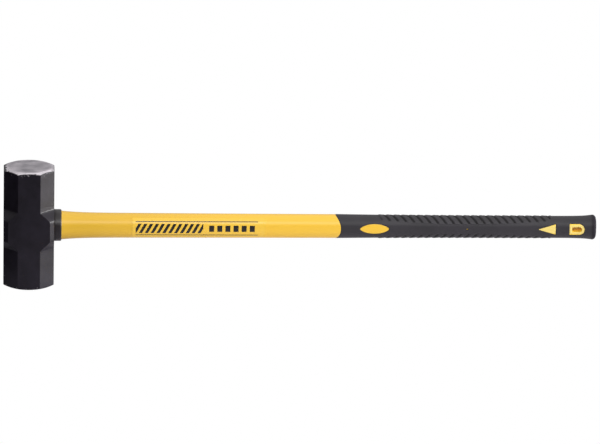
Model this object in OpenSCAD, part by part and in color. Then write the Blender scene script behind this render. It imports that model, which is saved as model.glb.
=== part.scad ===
// Double-faced sledgehammer with a moulded fibreglass handle.
// The head's axis is Z, the handle runs along +X, and the origin is the middle of
// the lower striking face. Millimetres.

/* [Overall] */
// Length from the head's far cheek to the butt of the handle
overall_length = 914; // [740:1:1100]

/* [Head] */
// Distance across the head between opposite flats
head_flats = 77.5; // [60:0.5:96]
// Length of the head from one striking face to the other
head_length = 188; // [150:1:240]
// Leg of the four long corner bevels
corner_bevel = 21.5; // [14:0.5:24]
// Leg of the small corner chamfers on the block round the eye
eye_block_bevel = 6.5; // [3:0.5:10]
// Height of the full-width block round the eye
eye_block_height = 31; // [24:1:50]
// Height over which a corner bevel runs out into the block
bevel_runout = 16; // [8:1:24]
// Distance from a flat to the nearest edge of the striking face
face_inset = 3.75; // [0.5:0.05:6]
// Slope of the turned bevel round a striking face, in degrees from the face
face_slope = 23; // [15:1:45]

/* [Eye and bond] */
// Thickness of the cast resin between the eye and the core
bond_gap = 4.5; // [2:0.5:7]
// Growth of the eye on every side from the middle of the head to the far cheek
eye_flare = 1.5; // [0:0.1:3]
// Depth of the resin's end below the far cheek
bond_recess = 1; // [0.5:0.5:4]
// Thickness of the resin over the core's far end
bond_cover = 3; // [1:0.5:6]

/* [Core] */
// Height of the core's section
core_height = 24; // [20:0.5:30]
// Width of the core's section
core_width = 19; // [15:0.5:23]
// Length of solid jacket between the core's end and the last window
core_stop = 12; // [4:1:20]

/* [Seal collar] */
// Length of the collar outside the head
collar_length = 11.4; // [7:0.1:13]
// Thickness of the collar between the head and the end of the jacket
collar_floor = 5; // [3:0.5:6]
// Thickness of the collar round the jacket's neck
collar_lip = 2.3; // [1.5:0.1:4]
// Radius of the collar's outer edges
collar_round = 2; // [0.5:0.1:2.5]
// Depth of the collar's spigot in the eye
collar_spigot = 6; // [3:1:12]

/* [Jacket] */
// Thickness of the jacket round the core along the shaft
jacket_wall = 7.3; // [4:0.1:9]
// Thickness of the jacket round the core inside the grip
sleeve_wall = 2.3; // [1.5:0.1:3.5]
// Growth of the jacket on every side at the collar
neck_flare = 3; // [1:0.1:5]
// Length over which the flare falls to a third
neck_decay = 25; // [12:1:40]
// Thinning of the jacket on every side just before the grip
waist_drop = 0.8; // [0:0.1:1.5]

/* [Grip] */
// Length of the grip along its top, from the butt
grip_length = 403.5; // [330:0.5:480]
// Thickness of the grip over the jacket at its thinnest
grip_wall = 2.9; // [1.5:0.1:4]
// Growth of the grip on every side at its front edge
grip_swell = 1.5; // [0.5:0.1:3]
// Length over which the swell fades away
swell_length = 222; // [120:1:320]
// Depth of the jacket's tongue in each side of the grip's front edge
tongue_depth = 8; // [4:0.5:12]
// Growth of the grip on every side at the butt
butt_flare = 2.2; // [0.5:0.1:3]
// Length over which the butt's flare falls to a third
butt_decay = 12; // [6:0.5:20]
// Radius of the butt's outer edge
butt_round = 5.5; // [2:0.5:7]
// Thickness of the grip across the end of the jacket
butt_wall = 8; // [5:0.5:12]
// Radius of the locating-pin hole in each side
pin_hole_radius = 1.5; // [1:0.1:2.5]
// Distance of the locating-pin holes from the butt
pin_hole_from_butt = 200; // [170:1:230]

/* [Windows and hang hole] */
// Depth of the jacket's bosses below the surface of the grip
boss_recess = 0.3; // [0.1:0.1:1]
// Length of the front window
leaf_length = 45; // [34:1:56]
// Height of the front window
leaf_height = 15.6; // [12:0.2:20]
// Sharpness of the front window's ends, from 1 for an ellipse to 2 for a lens
leaf_point = 1.3; // [1:0.1:2]
// Distance of the front window's middle from the grip's front edge
leaf_from_front = 60; // [40:1:75]
// Length of the arrow window
arrow_length = 28.5; // [20:0.5:34]
// Height of the arrow window
arrow_height = 17; // [13:0.2:21]
// Distance of the arrow window's base from the butt
arrow_from_butt = 62.9; // [52:0.1:75]
// Corner radius of the arrow window
arrow_round = 0.8; // [0.4:0.1:2]
// Length of the hang-hole window
hang_window_length = 23.5; // [20:0.5:29]
// Height of the hang-hole window
hang_window_height = 17.5; // [15:0.5:22]
// Distance of the hang-hole window's round end from the butt
hang_window_from_butt = 18.2; // [14:0.1:22]
// Length of the hang hole
hang_hole_length = 15; // [12:0.5:18]
// Height of the hang hole
hang_hole_height = 8; // [6:0.5:10]

/* [Label] */
// Thickness of the label film
label_thickness = 0.2; // [0.1:0.05:0.5]
// Height of the label film over the front of the jacket
label_height = 30.4; // [20:0.2:34]
// Distance of the label film from the head
label_from_head = 120; // [90:1:150]
// Distance of the label film from the grip
label_from_grip = 108; // [60:0.5:180]

/* [Hidden] */
$fn = 96;
reach = 2 * head_flats;               // past the head's sides, for the shapes that cut it
step = 8;                             // spacing of the points along a curved outline
long_step = 48;                       // spacing along an almost straight one
arc_step = 7.5;                       // degrees between the points of an arc
corner_steps = 6;                     // straight pieces in a rounded corner
overlap = 1;                          // how far two shapes run into each other
neck_length = 4 * neck_decay;         // where the jacket's flare has faded away

cheek_x = head_flats / 2;
axis_z = head_length / 2;
butt_x = overall_length - cheek_x;
grip_x = butt_x - grip_length;
tongue_x = grip_x + tongue_depth;
jacket_x = cheek_x + collar_floor;
collar_end_x = cheek_x + collar_length;
sleeve_end_x = butt_x - butt_wall;
leaf_x = grip_x + leaf_from_front;
arrow_x = butt_x - arrow_from_butt;
hang_window_x = butt_x - hang_window_from_butt;
hang_hole_x = hang_window_x - (hang_window_length - hang_hole_length) / 2;
core_end_x = hang_window_x - hang_window_length - core_stop;
core_start_x = -cheek_x + bond_recess + bond_cover;
label_x = cheek_x + label_from_head;
label_end_x = grip_x - label_from_grip;

core_radius = core_width / 2;
eye_radius = core_radius + bond_gap;

// Every section of the handle is the same oval at another size: a half-round top and bottom of
// the radius given here, and flat sides between them that are as tall as the core's.
flat_side = core_height - core_width;
shaft_radius = core_radius + jacket_wall;
sleeve_radius = core_radius + sleeve_wall;
waist_radius = sleeve_radius + grip_wall;
collar_radius = jacket_radius(collar_end_x) + collar_lip;
lip_x = butt_x - butt_round;          // where the butt's flare meets its rounded edge
lip_radius = waist_radius + butt_flare;

// The jacket's shaft: an exponential flare at the neck, a level run, and an S-shaped fall
// before the grip.
function jacket_radius(x) = shaft_radius + neck_flare * exp((collar_end_x - x) / neck_decay)
    - waist_drop * ease((x - cheek_x) / (grip_x - cheek_x));

// The grip: a parabolic swell at its front, and an exponential flare at the butt.
function grip_radius(x) = waist_radius
    + grip_swell * pow(max(0, 1 - (x - grip_x) / swell_length), 2)
    + butt_flare * exp((x - lip_x) / butt_decay);

function ease(t) = let(u = min(1, max(0, t))) u * u * (3 - 2 * u);

// Distances from a to b, both included, about gap apart.
function along(a, b, gap = step) = let(n = ceil((b - a) / gap)) [for (i = [0:n]) a + (b - a) * i / n];

// Points of a convex outline, given anticlockwise, with its corners rounded to radius r.
function rounded(corners, r) = let(n = len(corners)) [for (i = [0:n - 1])
    let(p = corners[i], a = unit(corners[(i + n - 1) % n] - p), b = unit(corners[(i + 1) % n] - p),
        half_angle = acos(a * b) / 2, middle = p + unit(a + b) * r / sin(half_angle),
        turn = 180 - 2 * half_angle, start = atan2(-a[0], a[1]) + 180)
    for (k = [0:corner_steps]) let(at = start + turn * k / corner_steps)
        middle + r * [cos(at), sin(at)]];
function unit(v) = v / norm(v);

// A solid of the handle's oval section, from an outline of (distance along the handle, radius)
// points that starts and ends on the axis.
module handle_solid(outline, straight = flat_side) {
    mirrored = [for (i = [len(outline) - 1:-1:0]) [outline[i][0], -outline[i][1]]];
    translate([0, 0, axis_z]) {
        for (turn = [0, 180]) rotate([turn, 0, 0]) translate([0, 0, straight / 2])
            rotate([0, 90, 0]) rotate([0, 0, 90]) rotate_extrude(angle = 180)
                polygon([for (p = outline) [p[1], p[0]]]);
        translate([0, 0, -straight / 2]) linear_extrude(straight) polygon(concat(outline, mirrored));
    }
}

// The same section at one radius from x0 to x1, or growing from radius to end_radius.
module oval_bar(radius, x0, x1, end_radius = undef) {
    last = is_undef(end_radius) ? radius : end_radius;
    handle_solid([[x0, 0], [x0, radius], [x1, last], [x1, 0]]);
}

// Extrudes an outline drawn in (X, height above the handle's axis) through the whole handle.
module through_sides() {
    translate([0, reach / 2, axis_z]) rotate([90, 0, 0]) linear_extrude(reach) children();
}

// The space inside the eye as far as x: straight on the handle's side of the head's middle, and
// flared towards the far cheek.
module eye_space(near_x, far_x) {
    oval_bar(eye_radius, 0, near_x);
    oval_bar(eye_radius + eye_flare * -far_x / cheek_x, far_x, 0, eye_radius);
}

// Outline of the material outside one corner of the head, as (distance from the axis along the
// diagonal, height): the long bevel, and the full-width block that it runs out into.
module corner_waste() {
    bevel = (head_flats - corner_bevel) / sqrt(2);
    block = (head_flats - eye_block_bevel) / sqrt(2);
    low = eye_block_height / 2;
    high = low + bevel_runout;
    polygon([[bevel, -head_length], [bevel, -high], [block, -low], [block, low],
             [bevel, high], [bevel, head_length], [reach, head_length], [reach, -head_length]]);
}

module head() {
    face_radius = head_flats / 2 - face_inset;
    corner_radius = reach / 2;
    drop = (corner_radius - face_radius) * tan(face_slope);
    color([0.13, 0.12, 0.14]) difference() {
        intersection() {
            translate([-head_flats / 2, -head_flats / 2, 0]) cube([head_flats, head_flats, head_length]);
            rotate_extrude() polygon([[0, 0], [face_radius, 0], [corner_radius, drop],
                [corner_radius, head_length - drop], [face_radius, head_length], [0, head_length]]);
        }
        for (turn = [45:90:315]) translate([0, 0, axis_z]) rotate([90, 0, turn])
            translate([0, 0, -reach / 2]) linear_extrude(reach) corner_waste();
        eye_space(cheek_x + overlap, -cheek_x - overlap);
    }
}

module epoxy_bond() {
    color([0.62, 0.50, 0.27]) difference() {
        eye_space(cheek_x - collar_spigot, -cheek_x + bond_recess);
        oval_bar(core_radius, core_start_x, reach);
    }
}

module fibreglass_core() {
    color([0.85, 0.80, 0.62]) oval_bar(core_radius, core_start_x, core_end_x);
}

module seal_collar() {
    arc = [for (a = [0:2 * arc_step:90]) collar_round * [sin(a), cos(a)]];
    edge = collar_radius - collar_round;
    color([0.10, 0.09, 0.10]) difference() {
        union() {
            handle_solid(concat([[cheek_x, 0]],
                [for (p = arc) [cheek_x + collar_round - p[1], edge + p[0]]],
                [for (p = arc) [collar_end_x - collar_round + p[0], edge + p[1]]],
                [[collar_end_x, 0]]));
            oval_bar(eye_radius, cheek_x - collar_spigot, cheek_x + overlap);
        }
        oval_bar(core_radius, 0, reach);
        jacket_shaft();
    }
}

// The jacket's shaft from the collar to the tips of its tongues.
module jacket_shaft() {
    stations = concat(along(jacket_x, jacket_x + neck_length),
        along(jacket_x + neck_length + long_step, tongue_x, long_step));
    handle_solid(concat([[jacket_x, 0]], [for (x = stations) [x, jacket_radius(x)]], [[tongue_x, 0]]));
}

// Everything on the head's side of the grip's curved front edge.
module before_grip() {
    half_height = grip_radius(grip_x) + flat_side / 2;
    radius = (pow(half_height, 2) + pow(tongue_depth, 2)) / (2 * tongue_depth);
    through_sides() {
        translate([-reach, -reach / 2]) square([grip_x + reach, reach]);
        translate([tongue_x - radius, 0]) circle(r = radius);
    }
}

// The part of the jacket inside the grip.
module jacket_sleeve() {
    oval_bar(sleeve_radius, grip_x - overlap, sleeve_end_x);
}

// Outlines of the three windows in each side of the grip.
module leaf_window() {
    polygon([for (a = [0:arc_step:360 - arc_step]) [leaf_x + leaf_length / 2 * cos(a),
        leaf_height / 2 * sign(sin(a)) * pow(abs(sin(a)), leaf_point)]]);
}
module arrow_window() {
    polygon(rounded([[arrow_x - arrow_length, 0], [arrow_x, -arrow_height / 2],
        [arrow_x, arrow_height / 2]], arrow_round));
}
module hang_window() {
    d_shape(hang_window_x, hang_window_length, hang_window_height);
}
// A D whose round end is at x, towards the butt.
module d_shape(x, length, height) {
    translate([x - height / 2, 0]) circle(d = height);
    translate([x - length, -height / 2]) square([length - height / 2, height]);
}

// The jacket's bosses, which fill the windows.
module window_bosses() {
    intersection() {
        through_sides() {
            leaf_window();
            arrow_window();
            hang_window();
        }
        handle_solid(concat([[grip_x, 0]],
            [for (x = along(grip_x, lip_x)) [x, grip_radius(x) - boss_recess]], [[lip_x, 0]]));
    }
}

module jacket() {
    color([0.96, 0.76, 0.22]) difference() {
        union() {
            intersection() {
                jacket_shaft();
                before_grip();
            }
            jacket_sleeve();
            window_bosses();
        }
        oval_bar(core_radius, 0, core_end_x);
        through_sides() d_shape(hang_hole_x, hang_hole_length, hang_hole_height);
    }
}

module label_film() {
    color([0.93, 0.91, 0.82, 0.6]) intersection() {
        difference() {
            handle_solid(concat([[label_x, 0]],
                [for (x = along(label_x, label_end_x, long_step)) [x, jacket_radius(x) + label_thickness]],
                [[label_end_x, 0]]));
            jacket_shaft();
        }
        translate([label_x, -reach, axis_z - label_height / 2])
            cube([label_end_x - label_x, reach, label_height]);
    }
}

module grip() {
    end_radius = lip_radius - butt_round;
    color([0.20, 0.19, 0.20]) difference() {
        handle_solid(concat([[grip_x, 0]], [for (x = along(grip_x, lip_x)) [x, grip_radius(x)]],
            [for (a = [90 - 2 * arc_step:-2 * arc_step:0]) [lip_x + butt_round * cos(a), end_radius + butt_round * sin(a)]],
            [[butt_x, 0]]));
        before_grip();
        jacket_sleeve();
        through_sides() {
            leaf_window();
            arrow_window();
            hang_window();
            translate([butt_x - pin_hole_from_butt, 0]) circle(r = pin_hole_radius);
        }
    }
}

head();
epoxy_bond();
fibreglass_core();
seal_collar();
jacket();
label_film();
grip();
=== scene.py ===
"""Sledgehammer: an octagonal double-faced head bonded to a moulded fibreglass handle.

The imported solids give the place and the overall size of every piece. The head's axis is Z, the
handle runs along +X from the eye, and the labelled side faces -Y. Lengths are in metres, and mm
turns millimetres into metres.
"""
import bmesh
import bpy
import numpy as np
from mathutils import Matrix, Vector


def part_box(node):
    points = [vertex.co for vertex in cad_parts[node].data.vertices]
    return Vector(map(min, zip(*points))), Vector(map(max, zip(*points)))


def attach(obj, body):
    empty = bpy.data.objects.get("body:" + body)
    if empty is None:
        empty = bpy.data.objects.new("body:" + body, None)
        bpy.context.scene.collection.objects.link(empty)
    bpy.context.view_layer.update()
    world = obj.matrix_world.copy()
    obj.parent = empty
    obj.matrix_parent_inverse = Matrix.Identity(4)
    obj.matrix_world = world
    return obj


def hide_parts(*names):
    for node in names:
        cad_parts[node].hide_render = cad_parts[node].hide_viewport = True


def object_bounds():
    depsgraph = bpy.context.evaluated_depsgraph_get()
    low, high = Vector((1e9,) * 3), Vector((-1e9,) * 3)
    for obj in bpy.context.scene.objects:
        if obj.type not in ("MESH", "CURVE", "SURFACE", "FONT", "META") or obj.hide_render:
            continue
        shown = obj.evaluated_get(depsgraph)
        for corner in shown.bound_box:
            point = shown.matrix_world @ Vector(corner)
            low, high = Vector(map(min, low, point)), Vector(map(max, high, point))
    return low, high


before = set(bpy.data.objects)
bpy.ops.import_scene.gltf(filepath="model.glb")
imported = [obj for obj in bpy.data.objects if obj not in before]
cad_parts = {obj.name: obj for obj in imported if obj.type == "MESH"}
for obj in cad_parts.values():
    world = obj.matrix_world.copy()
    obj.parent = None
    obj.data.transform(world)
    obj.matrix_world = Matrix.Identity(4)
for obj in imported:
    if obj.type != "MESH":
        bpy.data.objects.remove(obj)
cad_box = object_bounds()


# ---- Head ----------------------------------------------------------------------------------
# One drop forging of hardened steel: an octagonal bar whose corner bevels run out into a full
# block round the eye. It is dipped in thin black lacquer, and then its two striking faces are
# ground bare and a shallow bevel is turned round each.
mm = 0.001
head_low, head_high = (np.array(corner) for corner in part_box("head"))
half_flats = (head_high[0] - head_low[0]) / 2
half_length = (head_high[2] - head_low[2]) / 2
axis_z = head_low[2] + half_length           # height of the handle's axis
corner_bevel = 21.5 * mm                     # leg of the long corner bevels
block_bevel = 6.5 * mm                       # leg of the small chamfers beside the eye
block_half = 15.5 * mm                       # half height of the full block
runout_end = block_half + 16 * mm            # where a long bevel has its full width
face_radius = half_flats - 3.75 * mm
face_slope = np.tan(np.radians(23))
edge_round = 1.6 * mm                        # radius of the forged edges
rim_round = 0.9 * mm                         # softness of the edge left by grinding
eye_radius = 14 * mm                         # radius of the eye's half-round ends
eye_flare = 1.5 * mm                         # growth of the eye at its far mouth
eye_round = 1.2 * mm                         # rounding of the eye's mouths
flat_side = 5 * mm                           # height of the flat sides of every oval section


def ease(t):
    """Smooth step: 3t^2 - 2t^3, held at 0 before t = 0 and at 1 after t = 1."""
    t = np.clip(t, 0.0, 1.0)
    return t * t * (3.0 - 2.0 * t)


class Shell:
    """One closed surface, gathered grid by grid as whole arrays of points and faces."""

    def __init__(self):
        self.points, self.faces, self.zones, self.count = [], [], [], 0

    def add(self, grid):
        """Takes an array of points and returns their numbers in the same layout."""
        grid = np.asarray(grid, float)
        numbers = self.count + np.arange(grid[..., 0].size).reshape(grid.shape[:-1])
        self.points.append(grid.reshape(-1, 3))
        self.count += numbers.size
        return numbers

    def skin(self, numbers, around=True, zone=0):
        """Joins each row of numbers to the next with quads; around closes every row into a ring."""
        if around:
            numbers = np.column_stack([numbers, numbers[:, :1]])
        corners = [numbers[:-1, :-1], numbers[:-1, 1:], numbers[1:, 1:], numbers[1:, :-1]]
        self.keep(np.stack(corners, axis=-1).reshape(-1, 4), zone)

    def close(self, ring, centre, zone=0):
        """Closes a ring of numbers with a fan of triangles to one point."""
        middle = self.add([centre])[0]
        following = np.roll(ring, -1)
        self.keep(np.column_stack([ring, following, np.full(ring.size, middle)]), zone)

    def keep(self, faces, zone):
        self.faces.append(faces)
        self.zones.append(np.full(len(faces), zone))

    def cut(self, block):
        """Drops the quads inside a rectangular block of numbers and returns the ring of numbers
        round it, anticlockwise from the middle of the side where the first index is greatest."""
        for k, faces in enumerate(self.faces):
            inside = np.isin(faces, block).all(axis=1)
            self.faces[k], self.zones[k] = faces[~inside], self.zones[k][~inside]
        middle = block.shape[1] // 2
        return np.concatenate([block[-1, middle:], block[-2::-1, -1], block[0, -2::-1],
                               block[1:, 0], block[-1, 1:middle]])

    def place(self, numbers):
        """Coordinates of some of the points gathered so far."""
        return np.concatenate(self.points)[numbers]


def make_piece(name, shell, node, materials):
    """Turns a Shell into an object that rides on the body and stands for one solid. Edges sharper
    than 40 degrees stay sharp in the shading."""
    mesh = bpy.data.meshes.new(name)
    faces = [face for group in shell.faces for face in group.tolist()]
    mesh.from_pydata(np.concatenate(shell.points).tolist(), [], faces)
    for material in materials:
        mesh.materials.append(material)
    mesh.polygons.foreach_set("material_index", np.concatenate(shell.zones).astype(np.int32))
    work = bmesh.new()
    work.from_mesh(mesh)
    loose = [vertex for vertex in work.verts if not vertex.link_faces]
    bmesh.ops.delete(work, geom=loose, context="VERTS")
    bmesh.ops.recalc_face_normals(work, faces=work.faces)
    work.to_mesh(mesh)
    work.free()
    mesh.polygons.foreach_set("use_smooth", np.ones(len(mesh.polygons), bool))
    mesh.set_sharp_from_angle(angle=np.radians(40))
    piece = bpy.data.objects.new(name, mesh)
    bpy.context.scene.collection.objects.link(piece)
    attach(piece, "root")
    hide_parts(node)
    return piece


def linear_colour(hex_colour):
    """sRGB hex to linear: c / 12.92 below 0.04045, else ((c + 0.055) / 1.055) ^ 2.4."""
    c = np.array([int(hex_colour[k:k + 2], 16) for k in (0, 2, 4)]) / 255
    linear = np.where(c < 0.04045, c / 12.92, ((c + 0.055) / 1.055) ** 2.4)
    return (*linear.tolist(), 1.0)


def new_material(name):
    """A material with an empty node tree. Returns it, its tree and the Object coordinates."""
    material = bpy.data.materials.new(name)
    material.use_nodes = True
    tree = material.node_tree
    tree.nodes.clear()
    return material, tree, add_node(tree, "TexCoord").outputs["Object"]


def add_node(tree, kind, inputs=None, **settings):
    """Adds a shader node. inputs gives sockets a constant or another node's output."""
    node = tree.nodes.new("ShaderNode" + kind)
    for name, value in settings.items():
        setattr(node, name, value)
    for key, value in (inputs or {}).items():
        if isinstance(value, bpy.types.NodeSocket):
            tree.links.new(value, node.inputs[key])
        else:
            node.inputs[key].default_value = value
    return node


def noise(tree, place, size, detail=2.0, roughness=0.5, rotation=(0.0, 0.0, 0.0)):
    """Fractal noise from 0 to 1, with features of one size, or of a size for each axis."""
    scale = 1.0
    if isinstance(size, tuple):
        stretch = tuple(1 / length for length in size)
        place = add_node(tree, "Mapping", {"Vector": place, "Rotation": rotation,
                                           "Scale": stretch}).outputs["Vector"]
    else:
        scale = 1 / size
    return add_node(tree, "TexNoise", {"Vector": place, "Scale": scale, "Detail": detail,
                                       "Roughness": roughness}).outputs["Fac"]


def remap(tree, value, low, high, to_low=0.0, to_high=1.0):
    """Linear map of a value from low..high to to_low..to_high, held at both ends."""
    return add_node(tree, "MapRange", {"Value": value, "From Min": low, "From Max": high,
                                       "To Min": to_low, "To Max": to_high}).outputs["Result"]


def math(tree, operation, a, b=0.0, c=0.0):
    """One arithmetic step on numbers or outputs."""
    return add_node(tree, "Math", {0: a, 1: b, 2: c}, operation=operation).outputs["Value"]


def ramp(tree, share, *stops):
    """Colour ramp through (position, linear colour) stops, in rising order."""
    node = add_node(tree, "ValToRGB", {"Fac": share})
    elements = node.color_ramp.elements
    for element, stop in zip(elements, (stops[0], stops[-1])):
        element.position, element.color = stop
    for position, colour in stops[1:-1]:
        elements.new(position).color = colour
    return node.outputs["Color"]


def mix(tree, share, a, b):
    """Colour a where the share is 0 and colour b where it is 1."""
    return add_node(tree, "Mix", {"Factor": share, "A": a, "B": b},
                    data_type="RGBA").outputs["Result"]


def bump(tree, height, strength, distance):
    """Shading normal of a relief with the given height in metres."""
    return add_node(tree, "Bump", {"Height": height, "Strength": strength,
                                   "Distance": distance}).outputs["Normal"]


def finish(tree, colour, roughness, normal, **others):
    """Principled surface; others are further sockets, with _ for a space in the name."""
    inputs = {"Base Color": colour, "Roughness": roughness, "Normal": normal}
    inputs.update({name.replace("_", " "): value for name, value in others.items()})
    shader = add_node(tree, "BsdfPrincipled", inputs)
    add_node(tree, "OutputMaterial", {"Surface": shader.outputs["BSDF"]})


def lacquered_steel():
    """Brushing lacquer on scaled forged steel: near black, satin, with the scale's soft lumps
    (about 3 mm) and a fine orange peel (0.6 mm) showing through the thin film. It is knocked
    off in small chips (about 4 mm) along both end rims, down to dull bare steel."""
    material, tree, place = new_material("black lacquer on forged steel")
    patches = noise(tree, place, 28 * mm, detail=4.0, roughness=0.6)
    film = ramp(tree, patches, (0.32, linear_colour("0e0b11")), (0.7, linear_colour("1a161f")))
    height = add_node(tree, "SeparateXYZ", {"Vector": place}).outputs["Z"]
    from_middle = math(tree, "ABSOLUTE", math(tree, "SUBTRACT", height, axis_z))
    near_rim = remap(tree, from_middle, half_length - 9 * mm, half_length - 2 * mm, 0.0, 0.2)
    knocked = math(tree, "ADD", noise(tree, place, 4 * mm, detail=3.0), near_rim)
    chip = remap(tree, knocked, 0.79, 0.82)
    colour = mix(tree, chip, film, linear_colour("6f6b6e"))
    lumps = bump(tree, noise(tree, place, 3 * mm, detail=3.0, roughness=0.55), 0.25, 0.25 * mm)
    peel = noise(tree, place, 0.6 * mm, detail=1.0)
    skin = add_node(tree, "Bump", {"Height": peel, "Strength": 0.15, "Distance": 0.05 * mm,
                                   "Normal": lumps}).outputs["Normal"]
    finish(tree, colour, remap(tree, patches, 0.3, 0.7, 0.36, 0.44), skin, IOR=1.5,
           Specular_IOR_Level=0.3)
    return material


def ground_steel():
    """Bare steel off a belt grinder: metallic, with parallel scratches (0.9 mm apart, drawn
    coarse enough to show), cloudy patches (16 mm), a paler ring where the face is rubbed near its
    edge, black lacquer left in spots (5 mm) on the turned bevel, and more black towards -X as painted
    dark reflection."""
    material, tree, place = new_material("belt-ground bare steel")
    scratches = noise(tree, place, (22 * mm, 0.9 * mm, 10 * mm), detail=4.0, roughness=0.7,
                      rotation=(0.0, 0.0, np.radians(7)))
    clouds = noise(tree, place, 16 * mm, detail=3.0)
    mixed = math(tree, "ADD", scratches, clouds)
    flat = add_node(tree, "Mapping", {"Vector": place, "Scale": (1.0, 1.0, 0.0)})
    reach = add_node(tree, "VectorMath", {0: flat.outputs["Vector"]},
                     operation="LENGTH").outputs["Value"]
    rubbed = remap(tree, reach, face_radius - 5 * mm, face_radius, 0.0, 0.3)
    tone = math(tree, "ADD", remap(tree, mixed, 0.75, 1.25, 0.0, 0.6), rubbed)
    bare = ramp(tree, tone, (0.0, linear_colour("88858a")), (0.6, linear_colour("c9c4c8")),
                (1.0, linear_colour("f4f0f4")))
    out = remap(tree, reach, face_radius - 1 * mm, face_radius + 3 * mm, 0.0, 0.16)
    side = add_node(tree, "SeparateXYZ", {"Vector": place}).outputs["X"]
    # Painted dark reflection: the turned bevel is made black and non-metallic towards -X, where it
    # would mirror the dim left side.
    dark_reflection_side = remap(tree, side, -26 * mm, -36 * mm, 0.0, 0.3)
    lacquer_and_dark_reflection = math(tree, "ADD", math(tree, "ADD", out, dark_reflection_side), noise(tree, place, 5 * mm, detail=3.0))
    lacquer = remap(tree, lacquer_and_dark_reflection, 0.78, 0.86)
    colour = mix(tree, lacquer, bare, linear_colour("121014"))
    finish(tree, colour, remap(tree, mixed, 0.7, 1.3, 0.30, 0.42),
           bump(tree, scratches, 0.4, 0.08 * mm), Metallic=remap(tree, lacquer, 0.0, 1.0, 1.0, 0.0))
    return material


def octagon_ring(leg, straight_shares):
    """Cross-section of the head for each bevel leg given: a square with its corners cut at 45
    degrees, as eight straights joined by arcs of edge_round. Returns (legs, columns, 2)."""
    b = half_flats - leg
    a = np.full_like(leg, half_flats)
    corners = np.stack([np.stack(pair, axis=-1) for pair in (
        (a, -b), (a, b), (b, a), (-b, a), (-a, b), (-a, -b), (-b, -a), (b, -a))], axis=0)
    tangent = edge_round * np.tan(np.pi / 8)
    arc_steps = 5
    ring = []
    for k in range(8):
        turn = k * np.pi / 4
        out = np.array([np.cos(turn), np.sin(turn)])
        on = np.array([-np.sin(turn), np.cos(turn)])
        start, end = corners[k], corners[(k + 1) % 8]
        length = np.linalg.norm(end - start, axis=-1) - 2 * tangent
        steps = tangent + straight_shares[None, :] * length[:, None]
        ring.append(start[:, None, :] + steps[..., None] * on)
        centre = end - tangent * on - edge_round * out
        swing = turn + np.pi / 4 * np.arange(1, arc_steps) / arc_steps
        arc = edge_round * np.stack([np.cos(swing), np.sin(swing)], axis=-1)
        ring.append(centre[:, None, :] + arc[None])
    return np.concatenate(ring, axis=1)


def head_half(shares):
    """Rings of the upper half of the head, from the middle of the eye block to the rim of the
    flat face: straight up the sides, over a rounded rim, and in along the turned cone."""
    block = np.linspace(0, block_half, 7)
    runout = np.linspace(block_half, runout_end, 15)[1:]
    rise = (runout - block_half) / (runout_end - block_half)
    leg = block_bevel + (corner_bevel - block_bevel) * (0.6 * rise + 0.4 * ease(rise))
    low_rings = octagon_ring(np.concatenate([np.full(block.size, block_bevel), leg]), shares)
    heights = np.concatenate([block, runout])
    low = np.concatenate([low_rings, np.broadcast_to(heights[:, None, None],
                                                     (*low_rings.shape[:2], 1))], axis=2)
    outline = low_rings[-1]
    reach = np.linalg.norm(outline, axis=1)
    edge = half_length - (reach - face_radius) * face_slope
    bars = [np.column_stack([outline, runout_end + share * (edge - rim_round - runout_end)])
            for share in np.linspace(0, 1, 9)[1:]]
    inner = outline * (1 - rim_round / reach)[:, None]
    start, corner = np.column_stack([outline, edge - rim_round]), np.column_stack([outline, edge])
    finish = np.column_stack([inner, edge + rim_round * face_slope])
    rim = [(1 - t) ** 2 * start + 2 * t * (1 - t) * corner + t * t * finish
           for t in (0.25, 0.5, 0.75, 1.0)]
    heading = outline / reach[:, None]
    soft = 0.8 * mm                          # half width of the soft edge between cone and face
    cone = []
    for share in (0.35, 0.7, 1.0):
        radius = (reach - rim_round) * (1 - share) + (face_radius + soft) * share
        cone.append(np.column_stack([heading * radius[:, None],
                                     half_length - (radius - face_radius) * face_slope]))
    face = []
    for radius, drop in ((face_radius, soft * face_slope / 4), (face_radius - soft, 0.0),
                         (face_radius * 0.85, 0.0), (face_radius * 0.6, 0.0),
                         (face_radius * 0.3, 0.0)):
        face.append(np.column_stack([heading * radius, np.full(reach.size, half_length - drop)]))
    return low, np.array(bars + rim), np.array(cone + face)


def resample(outline, shares):
    """Points at the given shares of a closed outline's length, by linear interpolation."""
    closed = np.vstack([outline, outline[:1]])
    run = np.concatenate([[0], np.cumsum(np.linalg.norm(np.diff(closed, axis=0), axis=1))])
    return np.column_stack([np.interp(shares * run[-1], run, closed[:, k]) for k in (0, 1)])


def oval_loop(radius, shares):
    """Points (across, up) at given shares of an oval's length, anticlockwise from its right
    side: two half-rounds of the radius joined by flats of height flat_side."""
    turn = np.linspace(0, 2 * np.pi, 361)
    outline = np.column_stack([radius * np.cos(turn), radius * np.sin(turn)
                               + flat_side / 2 * np.clip(8 * np.sin(turn), -1, 1)])
    return resample(outline[:-1], shares)


def ring_shares(points):
    """How far round a closed ring of points each of them lies, as a share of its length."""
    steps = np.linalg.norm(np.diff(np.vstack([points, points[:1]]), axis=0), axis=1)
    return np.concatenate([[0], np.cumsum(steps)[:-1]]) / steps.sum()


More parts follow.
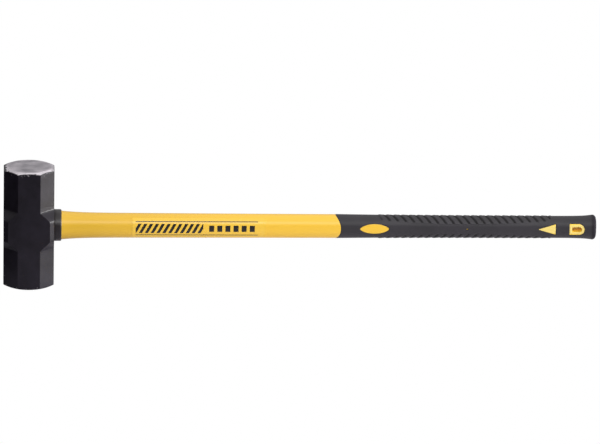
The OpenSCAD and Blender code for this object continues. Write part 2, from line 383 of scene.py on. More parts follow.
def make_head():
    """Both halves and the ends in one shell, with the eye cut through it along X."""
    straight_steps = 16
    shares = 0.5 - 0.5 * np.cos(np.pi * np.arange(straight_steps + 1) / straight_steps)
    low, sides, ends = head_half(shares)
    mirror = np.array([1, 1, -1])
    lift = np.array([0, 0, axis_z])
    shell = Shell()
    forged = np.concatenate([(sides * mirror)[::-1], (low * mirror)[:0:-1], low, sides])
    numbers = shell.add(forged + lift)
    shell.skin(numbers)
    for sign, outer in ((1, numbers[-1]), (-1, numbers[0])):
        rings = shell.add(ends * np.array([1, 1, sign]) + lift)
        shell.skin(np.vstack([outer[None], rings]), zone=1)
        shell.close(rings[-1], lift + np.array([0, 0, sign * half_length]), zone=1)

    # The eye: a ring of flat quads round each mouth, a rounded mouth, and the wall between.
    per_side = numbers.shape[1] // 8
    middle_row = len(sides) + len(low) - 1
    rows = np.arange(middle_row - 14, middle_row + 15)
    mouths = []
    for side, first, radius in ((1, 0, eye_radius), (-1, 4 * per_side, eye_radius + eye_flare)):
        columns = first + np.arange(2, straight_steps - 1)[::side]
        loop = shell.cut(numbers[rows][:, columns].T)
        around = shell.place(loop)[:, 1:] - np.array([0, axis_z])
        shares_round = ring_shares(around)
        rings = []
        for share in (0.7, 0.4, 0.15, 0.0):
            rim = oval_loop(radius + eye_round, shares_round)
            rings.append(np.column_stack([np.full(len(rim), side * half_flats),
                                          rim + share * (around - rim)]))
        for turn in np.radians([30, 60, 90]):
            rim = oval_loop(radius + eye_round * (1 - np.sin(turn)), shares_round)
            depth = half_flats - eye_round * (1 - np.cos(turn))
            rings.append(np.column_stack([np.full(len(rim), side * depth), rim]))
        mouth = shell.add(np.array(rings) + lift)
        shell.skin(np.vstack([loop[None], mouth]))
        mouths.append(mouth[-1])
    waist = shell.add(np.column_stack([np.zeros(mouths[0].size),
                                       oval_loop(eye_radius, shares_round)]) + lift)
    shell.skin(np.vstack([mouths[0][None], waist[None], mouths[1][None]]))
    piece = make_piece("forged_head", shell, "head",
                       [lacquered_steel(), ground_steel()])
    weighted = piece.modifiers.new("flat sides shade flat", "WEIGHTED_NORMAL")
    weighted.keep_sharp = True
    return piece


make_head()


# ---- Epoxy bond and fibreglass core --------------------------------------------------------
# A pultruded glass-fibre rod stands in the eye in a cast of amber epoxy. Only the resin's end
# shows, in the eye's far mouth. The solids' own shapes are right, so they keep them.
def cast_resin():
    """Filled epoxy: amber, glossy, a little uneven where it set (ripples about 6 mm across)."""
    material, tree, place = new_material("cast amber epoxy")
    ripple = noise(tree, place, 6 * mm)
    colour = ramp(tree, ripple, (0.0, linear_colour("3d2d17")), (1.0, linear_colour("7a6036")))
    finish(tree, colour, 0.22, bump(tree, ripple, 0.4, 0.4 * mm), IOR=1.55)
    return material


def pultruded_rod():
    """Glass rovings in resin: straw coloured, with fibres along X (1.2 mm apart)."""
    material, tree, place = new_material("pultruded glass fibre")
    fibres = noise(tree, place, (60 * mm, 1.2 * mm, 1.2 * mm), detail=3.0)
    colour = ramp(tree, fibres, (0.0, linear_colour("b9ab7c")), (1.0, linear_colour("e6dcb8")))
    finish(tree, colour, 0.45, bump(tree, fibres, 0.3, 0.1 * mm))
    return material


for node_name, slot_name, material in (("epoxy_bond", "epoxy", cast_resin()),
                                       ("fibreglass_core", "fibreglass", pultruded_rod())):
    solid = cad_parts[node_name]
    solid.data.materials.clear()
    solid.data.materials.append(material)


# ---- Seal collar ---------------------------------------------------------------------------
# An injection-moulded black ring. Its spigot plugs the near mouth of the eye, so that the
# liquid epoxy stays in, and its socket takes the end of the jacket.
columns = 112                                # points round every section of the handle
core_radius = 9.5 * mm
collar_low, collar_high = (np.array(corner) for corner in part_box("seal_collar"))
collar_radius = (collar_high[1] - collar_low[1]) / 2
collar_end_x = collar_high[0]
collar_round = 2 * mm
socket_floor_x = half_flats + 5 * mm
grip_low, grip_high = (np.array(corner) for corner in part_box("grip"))
grip_x, butt_x = grip_low[0], grip_high[0]
shaft_radius = core_radius + 7.3 * mm
neck_flare, neck_decay = 3 * mm, 25 * mm     # flare of the jacket at the collar
waist_drop = 0.8 * mm                        # how far the jacket's radius falls towards the grip


def handle_grid(x, radius):
    """Points round the handle's axis for arrays of x and radius that broadcast to (rows,
    columns): y = -r cos(a) and z = r sin(a) + flat_side/2 * clip(8 sin(a)), where the angle a
    starts at the labelled side and rises over the top."""
    angle = 2 * np.pi * np.arange(columns) / columns
    x, radius = np.broadcast_arrays(x, radius)
    x = np.broadcast_to(x, (x.shape[0], columns))
    z = radius * np.sin(angle) + flat_side / 2 * np.clip(8 * np.sin(angle), -1, 1)
    return np.stack([x, -radius * np.cos(angle) + 0 * x, axis_z + z + 0 * x], axis=-1)


def quarter(centre_x, centre_r, radius, start, end, steps=6):
    """Points (x, r) along an arc of a lengthwise profile, between two angles in degrees."""
    turn = np.radians(np.linspace(start, end, steps + 1))
    return np.column_stack([centre_x + radius * np.cos(turn), centre_r + radius * np.sin(turn)])


def moulded_polyamide():
    """Moulded polyamide: satin black, with a slow drift between two close tones (45 mm) and the
    mould's own fine grain (0.8 mm)."""
    material, tree, place = new_material("black moulded polyamide")
    drift = noise(tree, place, 45 * mm, detail=3.0)
    colour = ramp(tree, drift, (0.3, linear_colour("120e0f")), (0.7, linear_colour("191415")))
    finish(tree, colour, remap(tree, drift, 0.3, 0.7, 0.30, 0.38),
           bump(tree, noise(tree, place, 0.8 * mm), 0.5, 0.02 * mm), IOR=1.5)
    return material


def jacket_radius(x):
    """Level shaft, plus an exponential flare at the collar, less an S-shaped fall to the grip."""
    return (shaft_radius + neck_flare * np.exp((collar_end_x - x) / neck_decay)
            - waist_drop * ease((x - half_flats) / (grip_x - half_flats)))


def make_collar():
    """A profile turned round the axis: spigot, flange against the head, rounded body, socket."""
    mouth = float(jacket_radius(collar_end_x))
    spigot_x = collar_low[0]
    lead_in, foot_round, lip_round, slack = 0.6 * mm, 0.5 * mm, 0.3 * mm, 0.05 * mm
    profile = np.vstack([
        [(spigot_x, core_radius), (spigot_x, eye_radius - lead_in), (spigot_x + lead_in, eye_radius),
         (half_flats, eye_radius)],
        quarter(half_flats + foot_round, collar_radius - foot_round, foot_round, 180, 90, 4),
        [(half_flats + 4 * mm, collar_radius - 0.02 * mm)],
        quarter(collar_end_x - collar_round, collar_radius - collar_round, collar_round, 90, 0, 8),
        quarter(collar_end_x - lip_round, mouth + slack + lip_round, lip_round, 0, -90, 3),
        [(socket_floor_x, mouth + 0.55 * mm), (socket_floor_x, core_radius)]])
    shell = Shell()
    numbers = shell.add(handle_grid(profile[:, :1], profile[:, 1:]))
    shell.skin(np.vstack([numbers, numbers[:1]]))
    return make_piece("neck_collar", shell, "seal_collar", [moulded_polyamide()])


make_collar()


# ---- Jacket --------------------------------------------------------------------------------
# Yellow polypropylene moulded over the core: flared at the neck, level along the shaft, and
# ending in a tongue on each side. Inside the grip it carries on as a sleeve, with bosses that
# rise through the grip's windows, and its last boss carries the hang hole.
jacket_low, jacket_high = (np.array(corner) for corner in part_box("jacket"))
jacket_x, sleeve_end_x = jacket_low[0], jacket_high[0]
tongue_depth = 8 * mm
tongue_x = grip_x + tongue_depth
sleeve_radius = core_radius + 2.3 * mm
waist_radius = sleeve_radius + 2.9 * mm      # the grip at its thinnest
core_end_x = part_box("fibreglass_core")[1][0]
grip_swell, swell_length = 1.5 * mm, 222 * mm
butt_flare, butt_decay, butt_round = 2.2 * mm, 12 * mm, 5.5 * mm
lip_x = butt_x - butt_round
boss_recess = 0.3 * mm
boss_round = 0.5 * mm


def grip_radius(x):
    """Waist, plus a parabolic swell at the front, plus an exponential flare at the butt."""
    front = np.clip(1 - (x - grip_x) / swell_length, 0, None)
    return waist_radius + grip_swell * front ** 2 + butt_flare * np.exp((x - lip_x) / butt_decay)


def height_at(angle, radius):
    """Height above the axis at an angle round a section: the z of handle_grid."""
    return radius * np.sin(angle) + flat_side / 2 * np.clip(8 * np.sin(angle), -1, 1)


def angle_at(height, radius):
    """Inverse of height_at on one side: linear in the sine up to 1/8, and then less half a flat."""
    low = height / (radius + 4 * flat_side)
    high = (height - np.sign(height) * flat_side / 2) / radius
    return np.arcsin(np.clip(np.where(np.abs(low) < 0.125, low, high), -1, 1))


def side_points(plan, radius_at, side, depth=0.0):
    """Lifts (x, height) points onto the handle's surface along Y. side is 1 on the labelled side
    and -1 on the other; depth sinks them towards the axis."""
    x, height = plan[..., 0], plan[..., 1]
    angle = angle_at(height, radius_at(x, 0.0))
    radius = radius_at(x, angle)
    y = -radius * np.cos(angle) + depth
    return np.stack([x, side * y, axis_z + height_at(angle, radius)], axis=-1)


def front_edge(height):
    """How far the jacket's tongue reaches past the grip's top edge, at a height: a circular arc
    through the tongue's tip and both ends of the edge."""
    half = grip_radius(grip_x) + flat_side / 2
    arc = (half ** 2 + tongue_depth ** 2) / (2 * tongue_depth)
    return tongue_depth - arc + np.sqrt(arc ** 2 - np.clip(np.abs(height), 0, half) ** 2)


def rounded_outline(corners, radii):
    """A convex outline, anticlockwise from the middle of the edge between its last and first
    corners, with each corner replaced by an arc of its own radius."""
    corners, steps = np.array(corners, float), 10
    points = [(corners[0] + corners[-1]) / 2]
    for k, radius in enumerate(radii):
        here = corners[k]
        back, on = corners[k - 1] - here, corners[(k + 1) % len(radii)] - here
        back, on = back / np.linalg.norm(back), on / np.linalg.norm(on)
        half_angle = np.arccos(back @ on) / 2
        centre = here + (back + on) / np.linalg.norm(back + on) * radius / np.sin(half_angle)
        start = np.arctan2(-back[0], back[1]) + np.pi
        swing = start + (np.pi - 2 * half_angle) * np.arange(steps + 1) / steps
        points.extend(centre + radius * np.column_stack([np.cos(swing), np.sin(swing)]))
    return np.array(points)


def outward(points, distance):
    """Moves a closed anticlockwise ring of plane points outwards by a distance."""
    run = np.roll(points, -1, axis=0) - np.roll(points, 1, axis=0)
    normal = np.column_stack([run[:, 1], -run[:, 0]])
    return points + distance * normal / np.linalg.norm(normal, axis=1)[:, None]


def d_outline(end_x, length, height, corner):
    """A D with its round end towards the butt and slightly rounded corners on its flat end."""
    top = height / 2
    return rounded_outline([(end_x, top), (end_x - length, top), (end_x - length, -top),
                            (end_x, -top)], [top, corner, corner, top])


leaf_length, leaf_height, leaf_x = 45 * mm, 15.6 * mm, grip_x + 60 * mm
leaf_turn = np.linspace(0, 2 * np.pi, 241)[:-1]
leaf_outline = np.column_stack([
    leaf_x + leaf_length / 2 * np.cos(leaf_turn),
    leaf_height / 2 * np.sign(np.sin(leaf_turn)) * np.abs(np.sin(leaf_turn)) ** 1.3])
arrow_x, arrow_length, arrow_height = butt_x - 62.9 * mm, 28.5 * mm, 17 * mm
arrow_outline = rounded_outline([(arrow_x, arrow_height / 2), (arrow_x - arrow_length, 0),
                                 (arrow_x, -arrow_height / 2)], [0.8 * mm] * 3)
hang_window_x, hang_window_length, hang_window_height = butt_x - 18.2 * mm, 23.5 * mm, 17.5 * mm
hang_outline = d_outline(hang_window_x, hang_window_length, hang_window_height, 0.8 * mm)
hole_length, hole_height = 15 * mm, 8 * mm
hole_outline = d_outline(hang_window_x - (hang_window_length - hole_length) / 2, hole_length,
                         hole_height, 0.8 * mm)
windows = [leaf_outline, arrow_outline, hang_outline]
window_columns = 12                          # columns cut away above and below the side line
window_margin = 2.6 * mm


def levels(*stretches):
    """Distances along the handle: for each (start, end, gap), evenly spaced about gap apart."""
    parts = [np.linspace(start, end, max(2, int(round((end - start) / gap)) + 1))
             for start, end, gap in stretches]
    return np.concatenate([parts[0]] + [part[1:] for part in parts[1:]])


def side_block(shell, numbers, x, outline, side, half_columns):
    """Cuts a rectangle of quads out of a sheet round an outline, with a margin. numbers and x are
    the sheet's rows and their distances. Returns the ring of numbers round the hole, and the
    ring's (x, height) plan."""
    low, high = outline[:, 0].min() - window_margin, outline[:, 0].max() + window_margin
    rows = np.arange(np.searchsorted(x, low) - 1, np.searchsorted(x, high) + 1)
    spread = np.arange(-half_columns, half_columns + 1)
    picked = spread if side == 1 else columns // 2 - spread
    loop = shell.cut(numbers[rows][:, picked % columns])
    ring = shell.place(loop)
    return loop, np.column_stack([ring[:, 0], ring[:, 2] - axis_z])


def make_jacket(material):
    """The shaft with its flare, the blind bore for the core, the sleeve inside the grip, and a
    rounded boss on each side for every window, the last pair with the hang hole through it."""
    shell = Shell()

    def sleeve_at(x, angle):
        return sleeve_radius + 0 * x

    def boss_at(x, angle):
        return grip_radius(x) - boss_recess

    neck_x = levels((jacket_x, jacket_x + 100 * mm, 4 * mm), (jacket_x + 100 * mm, grip_x, 7 * mm))
    bore = handle_grid(np.array([core_end_x, jacket_x])[:, None], core_radius)
    shaft = handle_grid(neck_x[:, None], jacket_radius(neck_x)[:, None])
    angle = 2 * np.pi * np.arange(columns) / columns
    tip_x = grip_x + front_edge(height_at(angle, jacket_radius(grip_x)))
    tip = [handle_grid(tip_x[None], radius) for radius in (jacket_radius(grip_x), sleeve_radius)]
    first = tongue_x + 2 * mm
    sleeve_x = levels((first, leaf_outline[:, 0].max() + 6 * mm, 1 * mm),
                      (leaf_outline[:, 0].max() + 6 * mm, arrow_outline[:, 0].min() - 6 * mm, 9 * mm),
                      (arrow_outline[:, 0].min() - 6 * mm, sleeve_end_x, 1 * mm))
    body = np.concatenate([bore, shaft, *tip])
    numbers = shell.add(body)
    sleeve = shell.add(handle_grid(sleeve_x[:, None], sleeve_radius))
    shell.skin(np.vstack([numbers, sleeve[:1]]))
    shell.skin(sleeve)
    shell.close(numbers[0], (core_end_x, 0, axis_z))
    shell.close(sleeve[-1], (sleeve_end_x, 0, axis_z))

    holes = []
    for outline in windows:
        for side in (1, -1):
            loop, plan = side_block(shell, sleeve, sleeve_x, outline, side, window_columns)
            shares = ring_shares(plan)
            foot = outward(resample(outline, shares), -0.1 * mm)
            rings = [side_points(foot + share * (plan - foot), sleeve_at, side)
                     for share in (0.6, 0.25, 0.0)]
            for turn in np.radians([0, 30, 60, 90]):
                inset = outward(foot, -boss_round * (1 - np.cos(turn)))
                rings.append(side_points(inset, boss_at, side, boss_round * (1 - np.sin(turn))))
            if outline is hang_outline:
                hole = outward(resample(hole_outline, shares), boss_round)
                rings += [side_points(hole + share * (inset - hole), boss_at, side)
                          for share in (0.66, 0.33, 0.0)]
                for turn in np.radians([30, 60, 90]):
                    inner = outward(hole, -boss_round * np.sin(turn))
                    rings.append(side_points(inner, boss_at, side, boss_round * (1 - np.cos(turn))))
            else:
                middle = (outline.min(axis=0) + outline.max(axis=0)) / 2
                rings += [side_points(middle + share * (inset - middle), boss_at, side)
                          for share in (0.94, 0.75, 0.5, 0.25)]
            boss = shell.add(np.array(rings))
            shell.skin(np.vstack([loop[None], boss]))
            if outline is hang_outline:
                holes.append(boss[-1])
            else:
                shell.close(boss[-1], side_points(middle, boss_at, side))
    shell.skin(np.array(holes))
    return make_piece("handle_jacket", shell, "jacket", [material])


def yellow_polypropylene():
    """Moulded polypropylene: satin yellow, with painted shade darkening it towards the neck and a
    painted highlight paling the faces of the bosses near the butt, faint flow marks along the shaft (7
    mm by 60 mm) and a fine mould grain (0.9 mm). The hang hole's bore is matt and painted a brighter
    yellow as painted light."""
    material, tree, place = new_material("yellow moulded polypropylene")
    split = add_node(tree, "SeparateXYZ", {"Vector": place})
    along, across = split.outputs["X"], split.outputs["Y"]
    flow = noise(tree, place, (60 * mm, 7 * mm, 7 * mm), detail=3.0)
    # Painted shade: the ramp along X darkens the jacket towards the neck; the flow noise mixed in is
    # the plastic's own.
    flow_and_neck_shade = math(tree, "MULTIPLY_ADD", flow, 0.16, remap(tree, along, jacket_x, butt_x))
    body = ramp(tree, flow_and_neck_shade, (0.08, linear_colour("d4a92a")), (0.42, linear_colour("e6b835")),
                (0.98, linear_colour("e6bb3c")))
    # Painted highlight: the faces of the bosses near the butt are paled.
    boss_face_highlight = remap(tree, math(tree, "ABSOLUTE", across), 13 * mm, 14.2 * mm)
    rear = remap(tree, along, butt_x - 135 * mm, butt_x - 85 * mm)
    pale = math(tree, "MULTIPLY", boss_face_highlight, rear)
    # Painted light: the hang hole's bore is a brighter yellow to stand in for light coming through the
    # plastic.
    bore = math(tree, "SUBTRACT", rear, pale)
    colour = mix(tree, pale, body, linear_colour("e2ca70"))
    colour = mix(tree, bore, colour, linear_colour("fbd544"))
    finish(tree, colour, remap(tree, flow, 0.3, 0.7, 0.30, 0.38),
           bump(tree, noise(tree, place, 0.9 * mm), 0.5, 0.02 * mm), IOR=1.5,
           Specular_IOR_Level=remap(tree, bore, 0.0, 1.0, 0.5, 0.03))
    return material


make_jacket(yellow_polypropylene())


# ---- Label film ----------------------------------------------------------------------------
# A clear film heat-sealed over a plain black print on the labelled side. The print is a
# hatched band and a row of blocks, which stand for nothing.
label_low, label_high = (np.array(corner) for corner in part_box("label_film"))
film_thickness = 0.2 * mm


def printed_film():
    """Clear film on yellow: the jacket's colour a shade lighter, glossier than the jacket, with
    a matt black print drawn by rules on X and on the height above the axis."""
    material, tree, place = new_material("printed clear film")
    split = add_node(tree, "SeparateXYZ", {"Vector": place})
    x = split.outputs["X"]
    z = math(tree, "SUBTRACT", split.outputs["Z"], axis_z)

    def inside(value, low, high):
        return math(tree, "COMPARE", value, (low + high) / 2, (high - low) / 2)

    def stripes(value, start, pitch, share):
        phase = math(tree, "FRACT", math(tree, "DIVIDE", math(tree, "SUBTRACT", value, start), pitch))
        return math(tree, "LESS_THAN", phase, share)

    def patch(start, end, half_height):
        return math(tree, "MULTIPLY", inside(x, start, end), inside(z, -half_height, half_height))

    start = label_low[0] + 5 * mm
    hatch_end, hatch_slant = start + 104 * mm, 0.55
    block_start, block_pitch = start + 113 * mm, 12.5 * mm
    end = block_start + 6 * block_pitch
    rule_low, rule_high = 10 * mm, 11.2 * mm
    slanted = math(tree, "MULTIPLY_ADD", z, -hatch_slant, x)
    hatch = math(tree, "MULTIPLY", stripes(slanted, start, 9 * mm, 0.55),
                 patch(start, hatch_end, 7.5 * mm))
    blocks = math(tree, "MULTIPLY", stripes(x, block_start, block_pitch, 0.62),
                  patch(block_start, end, 5 * mm))
    rules = math(tree, "MULTIPLY", inside(x, start, end),
                 inside(math(tree, "ABSOLUTE", z), rule_low, rule_high))
    printed = math(tree, "MAXIMUM", math(tree, "MAXIMUM", hatch, blocks), rules)
    colour = mix(tree, printed, linear_colour("e7bc3e"), linear_colour("17140f"))
    drift = noise(tree, place, 20 * mm)
    finish(tree, colour, remap(tree, drift, 0.0, 1.0, 0.2, 0.3), bump(tree, drift, 0.1, 0.2 * mm))
    return material


def make_label():
    """A thin sheet on the labelled side, from just off the jacket to the film's thickness."""
    shell = Shell()
    x = levels((label_low[0], label_high[0], 3 * mm))
    half_height = (label_high[2] - label_low[2]) / 2
    height = np.linspace(-half_height, half_height, 45)
    plan = np.stack(np.meshgrid(x, height, indexing="ij"), axis=-1)

    def face_at(lift):
        def radius_at(x, angle):
            return jacket_radius(x) + lift
        return side_points(plan, radius_at, 1)

    loops = np.concatenate([face_at(film_thickness), face_at(0.01 * mm)[:, ::-1]], axis=1)
    numbers = shell.add(loops)
    shell.skin(numbers)
    for end in (numbers[0], numbers[-1]):
        shell.skin(np.array([end[:height.size], end[:height.size - 1:-1]]), around=False)
    return make_piece("printed_label", shell, "label_film", [printed_film()])


make_label()


# ---- Grip ----------------------------------------------------------------------------------
# Black thermoplastic rubber moulded over the sleeve in a second shot. A lens-shaped pad on top,
# and its mirror image below, carries slanting grooves that meet in a chevron along the ridge.
# The windows show the jacket's bosses, and a small hole in each side is left by a core pin.
pad_middle, pad_half = butt_x - 203 * mm, 136 * mm
pad_edge, pad_end_edge = np.radians([18, 42])    # its long edge above the side line, and its ends
pad_rise = 0.4 * mm
groove_pitch, groove_half, groove_depth = 12 * mm, 1.8 * mm, 1.2 * mm
groove_slant = 0.68                          # forward run of a groove for each unit down the side
lip_round = 0.55 * mm                        # rounding of the grip's front edge
window_round = 0.6 * mm
pin_radius, pin_x = 1.5 * mm, butt_x - 200 * mm


def pad_grooves(x, angle):
    """The pads, from 0 outside to 1 inside, and their grooves, from 0 to 1 along the middle. A
    pad lies above an edge whose elevation rises as the square of the distance from its middle
    and closes quickly at both ends. The grooves are Gaussian troughs along lines
    x = start + slant * distance down from the ridge."""
    elevation = np.arcsin(np.clip(np.abs(np.sin(angle)), 0, 1))
    out = np.abs(x - pad_middle) / pad_half
    edge = pad_edge + (pad_end_edge - pad_edge) * out ** 2
    edge = edge + (np.pi / 2 - edge) * ease((out - 0.95) / 0.05)
    pad = ease((elevation - edge) / np.radians(4)) * (out < 1)
    open_pad = ease((elevation - edge - np.radians(2)) / np.radians(6)) * (out < 1)
    down = (np.pi / 2 - elevation) * waist_radius
    offset = (x - pad_middle - groove_slant * down) / groove_pitch
    along = (offset - np.floor(offset) - 0.5) * groove_pitch
    groove = np.exp(-(along / groove_half) ** 2)
    lip = np.exp(-((along - 3.4 * mm) / (1.3 * mm)) ** 2)
    return pad, open_pad * groove, open_pad * lip


def pad_relief(x, angle):
    """Height of the pads over the plain grip: a low step, less the grooves, with a lip on the
    butt's side of each groove."""
    pad, groove, lip = pad_grooves(x, angle)
    return pad_rise * pad - groove_depth * groove + 0.3 * mm * lip


def stitch(shell, ring_a, ring_b):
    """Joins two rings of different counts that lie on one outline, by taking at each step the
    triangle that keeps both rings' shares level."""
    a, b = ring_a.size, ring_b.size
    order = np.concatenate([np.stack([np.arange(1, a + 1) / a, np.zeros(a)], axis=1),
                            np.stack([np.arange(1, b + 1) / b, np.ones(b)], axis=1)])
    order = order[np.argsort(order[:, 0], kind="stable")]
    on_a = order[:, 1] == 0
    at_a = np.concatenate([[0], np.cumsum(on_a)])
    at_b = np.concatenate([[0], np.cumsum(~on_a)])
    ahead = np.where(on_a, ring_a[at_a[1:] % a], ring_b[at_b[1:] % b])
    faces = np.column_stack([ring_a[at_a[:-1] % a], ring_b[at_b[:-1] % b], ahead])
    shell.keep(faces, 0)


def make_grip(material):
    """The tube with its curved front edge, pads and rounded butt, the windows and pin holes cut
    through its wall, and the share of groove stored at every point for the material's painted shade."""
    shell = Shell()
    angle = 2 * np.pi * np.arange(columns) / columns

    def outer_at(x, angle):
        return grip_radius(x) + pad_relief(x, angle)

    def inner_at(x, angle):
        return sleeve_radius + 0 * x

    def warped(x):
        """Rows of x that follow the curved front edge and straighten out over 28 mm."""
        bulge = front_edge(height_at(angle, grip_radius(grip_x)))
        return x[:, None] + bulge[None] * (1 - ease((x[:, None] - grip_x) / (28 * mm)))

    fine, plain = 0.85 * mm, 1.6 * mm
    start = grip_x + lip_round
    pads_x, pads_end_x = grip_x + 32 * mm, pad_middle + pad_half + 4 * mm
    outer_x = levels((start, pads_x, plain), (pads_x, pads_end_x, fine),
                     (pads_end_x, lip_x, 1 * mm))
    spread = warped(outer_x)
    outer = shell.add(handle_grid(spread, outer_at(spread, angle[None])))
    shell.skin(outer)

    turn = np.radians([0, 30, 60])
    edge_x = grip_x + front_edge(height_at(angle, grip_radius(grip_x)))
    edge_r = grip_radius(edge_x)
    lip = [handle_grid((edge_x + lip_round * (1 - np.cos(a)))[None] if a else edge_x[None],
                       (edge_r - lip_round * (1 - np.sin(a)))[None]) for a in turn]
    lip_rings = shell.add(np.concatenate(lip))
    inner_x = levels((tongue_x + 2 * mm, leaf_outline[:, 0].max() + 6 * mm, 1 * mm),
                     (leaf_outline[:, 0].max() + 6 * mm, pin_x - 8 * mm, 9 * mm),
                     (pin_x - 8 * mm, pin_x + 8 * mm, 1 * mm),
                     (pin_x + 8 * mm, arrow_outline[:, 0].min() - 6 * mm, 9 * mm),
                     (arrow_outline[:, 0].min() - 6 * mm, sleeve_end_x, 1 * mm))
    inner = shell.add(handle_grid(inner_x[:, None], sleeve_radius))
    shell.skin(inner)
    foot = shell.add(handle_grid(edge_x[None], sleeve_radius))
    shell.skin(np.vstack([outer[:1], lip_rings[::-1], foot, inner[:1]]))
    shell.close(inner[-1], (sleeve_end_x, 0, axis_z))

    end = quarter(lip_x, grip_radius(lip_x) - butt_round, butt_round, 90, 0, 9)[1:]
    flat = end[-1, 1] * np.array([0.93, 0.7, 0.4])
    cap = np.vstack([end, np.column_stack([np.full(3, butt_x), flat])])
    butt = shell.add(handle_grid(cap[:, :1], cap[:, 1:]))
    shell.skin(np.vstack([outer[-1:], butt]))
    shell.close(butt[-1], (butt_x, 0, axis_z))

    pin_turn = np.linspace(0, 2 * np.pi, 49)[:-1]
    pin_outline = np.column_stack([pin_x + pin_radius * np.cos(pin_turn),
                                   pin_radius * np.sin(pin_turn)])
    for outline in windows + [pin_outline]:
        pin = outline is pin_outline
        half_columns = 4 if pin else window_columns
        soft = 0.3 * mm if pin else window_round
        for side in (1, -1):
            loop, plan = side_block(shell, inner, inner_x, outline, side, half_columns)
            outer_loop, outer_plan = side_block(shell, outer, outer_x, outline, side, half_columns)
            shares = ring_shares(outer_plan)
            rim = resample(outline, shares)
            far = outward(rim, soft)
            rings_outer = [side_points(far + share * (outer_plan - far), outer_at, side)
                           for share in (0.7, 0.4, 0.15, 0.0)]
            for swing in np.radians([30, 60, 90]):
                inset = outward(rim, soft * (1 - np.sin(swing)))
                rings_outer.append(side_points(inset, outer_at, side, soft * (1 - np.cos(swing))))
            wall = side_points(rim, inner_at, side)
            rings = shell.add(np.array(rings_outer + [wall]))
            shell.skin(np.vstack([outer_loop[None], rings]))
            inner_shares = ring_shares(plan)
            seat = shell.add(side_points(resample(outline, inner_shares), inner_at, side))
            shell.skin(np.vstack([loop[None], seat[None]]))
            stitch(shell, rings[-1], seat)
    piece = make_piece("grip_overmould", shell, "grip", [material])
    points = np.empty(len(piece.data.vertices) * 3)
    piece.data.vertices.foreach_get("co", points)
    x, y, z = points.reshape(-1, 3).T
    up = np.clip(np.abs(z - axis_z) - flat_side / 2, 0, None)
    groove = pad_grooves(x, np.arctan2(up, np.abs(y)))[1] * (np.hypot(y, up) > sleeve_radius + mm)
    stored = piece.data.attributes.new("groove", "FLOAT", "POINT")
    stored.data.foreach_set("value", groove)
    return piece


def moulded_rubber():
    """Thermoplastic rubber out of an eroded mould: dark grey and matt, with a fine grain (0.7 mm)
    and a slow drift in tone (45 mm); its grooves are painted near black and dull as painted shade
    in the creases. The butt is rubbed dull where the tool stands on it."""
    material, tree, place = new_material("black moulded thermoplastic rubber")
    drift = noise(tree, place, 45 * mm, detail=4.0, roughness=0.6)
    skin = ramp(tree, drift, (0.3, linear_colour("1b191d")), (0.7, linear_colour("262329")))
    groove = add_node(tree, "Attribute", attribute_name="groove").outputs["Fac"]
    # Painted shade: near black where the groove share is high, for the shade that falls in the grooves.
    colour = mix(tree, groove, skin, linear_colour("060506"))
    along = add_node(tree, "SeparateXYZ", {"Vector": place}).outputs["X"]
    gloss = remap(tree, along, butt_x - 9 * mm, butt_x - 4 * mm, 0.5, 0.05)
    finish(tree, colour, remap(tree, groove, 0.0, 1.0, 0.54, 0.8),
           bump(tree, noise(tree, place, 0.7 * mm), 0.5, 0.06 * mm), IOR=1.5,
           Specular_IOR_Level=gloss)
    return material


make_grip(moulded_rubber())


# ---- Floor, light and camera ---------------------------------------------------------------
# A plain white floor, and the even light of a tent: bright overhead, dimmer towards the floor,
# with a wide soft box low and far off on the right, and another above the labelled side.
def make_floor():
    """The camera sees the floor as plain white. The object gets light back from it as if from a
    dark cloth under the head and pale paper under the handle: a ramp on X, dimmed towards the
    camera by a ramp on Y."""
    half = 9.0
    mesh = bpy.data.meshes.new("floor")
    corners = [(-half, -half, 0), (half, -half, 0), (half, half, 0), (-half, half, 0)]
    mesh.from_pydata(corners, [], [(0, 1, 2, 3)])
    material, tree, place = new_material("white studio floor")
    split = add_node(tree, "SeparateXYZ", {"Vector": place})
    cloth = ramp(tree, remap(tree, split.outputs["X"], -0.15, 0.15), (0.0, (0.03, 0.03, 0.035, 1)),
                 (0.5, (0.5, 0.48, 0.56, 1)), (1.0, (0.8, 0.78, 0.82, 1)))
    near = remap(tree, split.outputs["Y"], -0.6, -0.1, 0.2, 1.0)
    cloth = add_node(tree, "VectorMath", {0: cloth, "Scale": near}, operation="SCALE")
    paint = add_node(tree, "BsdfDiffuse", {"Color": cloth.outputs["Vector"]})
    glow = add_node(tree, "Emission", {"Color": linear_colour("ffffff"), "Strength": 1.0})
    seen = add_node(tree, "LightPath").outputs["Is Camera Ray"]
    mixed = add_node(tree, "MixShader", {0: seen, 1: paint.outputs["BSDF"],
                                         2: glow.outputs["Emission"]})
    add_node(tree, "OutputMaterial", {"Surface": mixed.outputs["Shader"]})
    mesh.materials.append(material)
    floor = bpy.data.objects.new("floor", mesh)
    bpy.context.scene.collection.objects.link(floor)


def soft_box(name, power, size, place):
    """A rectangular area light that faces the middle of the object."""
    light = bpy.data.lights.new(name, "AREA")
    light.energy = power
    light.shape = "RECTANGLE"
    light.size, light.size_y = size
    lamp = bpy.data.objects.new(name, light)
    aim_at = (cad_box[0] + cad_box[1]) / 2 - Vector(place)
    lamp.matrix_world = Matrix.Translation(place) @ aim_at.to_track_quat("-Z", "Y").to_matrix().to_4x4()
    bpy.context.scene.collection.objects.link(lamp)


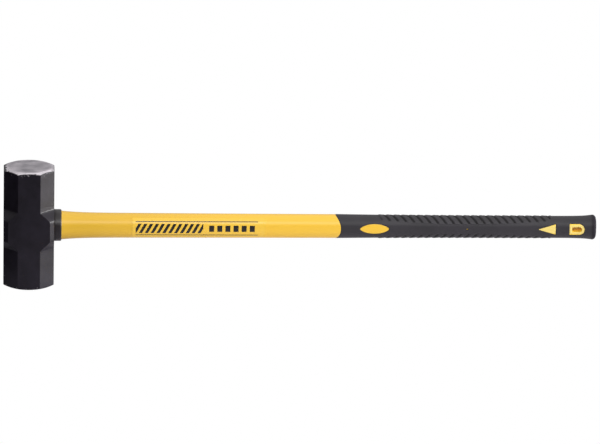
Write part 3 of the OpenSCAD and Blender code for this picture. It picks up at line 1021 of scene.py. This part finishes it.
def make_tent():
    """World light: a ramp on the height of the direction, dimmed towards the left."""
    world = bpy.data.worlds.new("light tent")
    world.use_nodes = True
    tree = world.node_tree
    tree.nodes.clear()
    direction = add_node(tree, "TexCoord").outputs["Generated"]
    split = add_node(tree, "SeparateXYZ", {"Vector": direction})
    light = ramp(tree, split.outputs["Z"], (0.0, (0.30, 0.30, 0.32, 1)),
                 (0.3, (0.56, 0.55, 0.57, 1)), (0.85, (1.4, 1.38, 1.4, 1)))
    dimmed = remap(tree, split.outputs["X"], -0.9, 0.3, 0.35, 1.0)
    background = add_node(tree, "Background", {"Color": light, "Strength": dimmed})
    add_node(tree, "OutputWorld", {"Surface": background.outputs["Background"]})
    bpy.context.scene.world = world


make_floor()
make_tent()
soft_box("right soft box", 370, (3.0, 1.0), (5.0, -0.7, 0.5))
soft_box("front soft box", 32, (2.6, 1.0), (0.7, -2.6, 1.7))
scene = bpy.context.scene
scene.view_settings.view_transform = "Standard"

camera_yaw, camera_pitch, camera_roll = np.radians([3.6, 17.4, -1.30])
camera_distance = 8.0                        # from the handle's axis
view_width = 0.9220                          # width seen at the handle, in metres
camera = bpy.data.cameras.new("camera")
camera.sensor_width = 36
camera.lens = camera.sensor_width * camera_distance / view_width
camera.dof.use_dof = False
camera.clip_end = 100
view_from = bpy.data.objects.new("camera", camera)
bpy.context.scene.collection.objects.link(view_from)
level_right = np.array([np.cos(camera_yaw), -np.sin(camera_yaw), 0])
level_up = np.array([np.sin(camera_yaw) * np.sin(camera_pitch),
                     np.cos(camera_yaw) * np.sin(camera_pitch), np.cos(camera_pitch)])
right = level_right * np.cos(camera_roll) - level_up * np.sin(camera_roll)
up = level_right * np.sin(camera_roll) + level_up * np.cos(camera_roll)
back = np.cross(right, up)
aim = np.array([0, 0, axis_z]) + 0.4168 * right + 0.0044 * up
view_from.matrix_world = Matrix([[*row, place] for row, place in zip(
    np.column_stack([right, up, back]), aim + camera_distance * back)] + [[0, 0, 0, 1]])
scene.camera = view_from
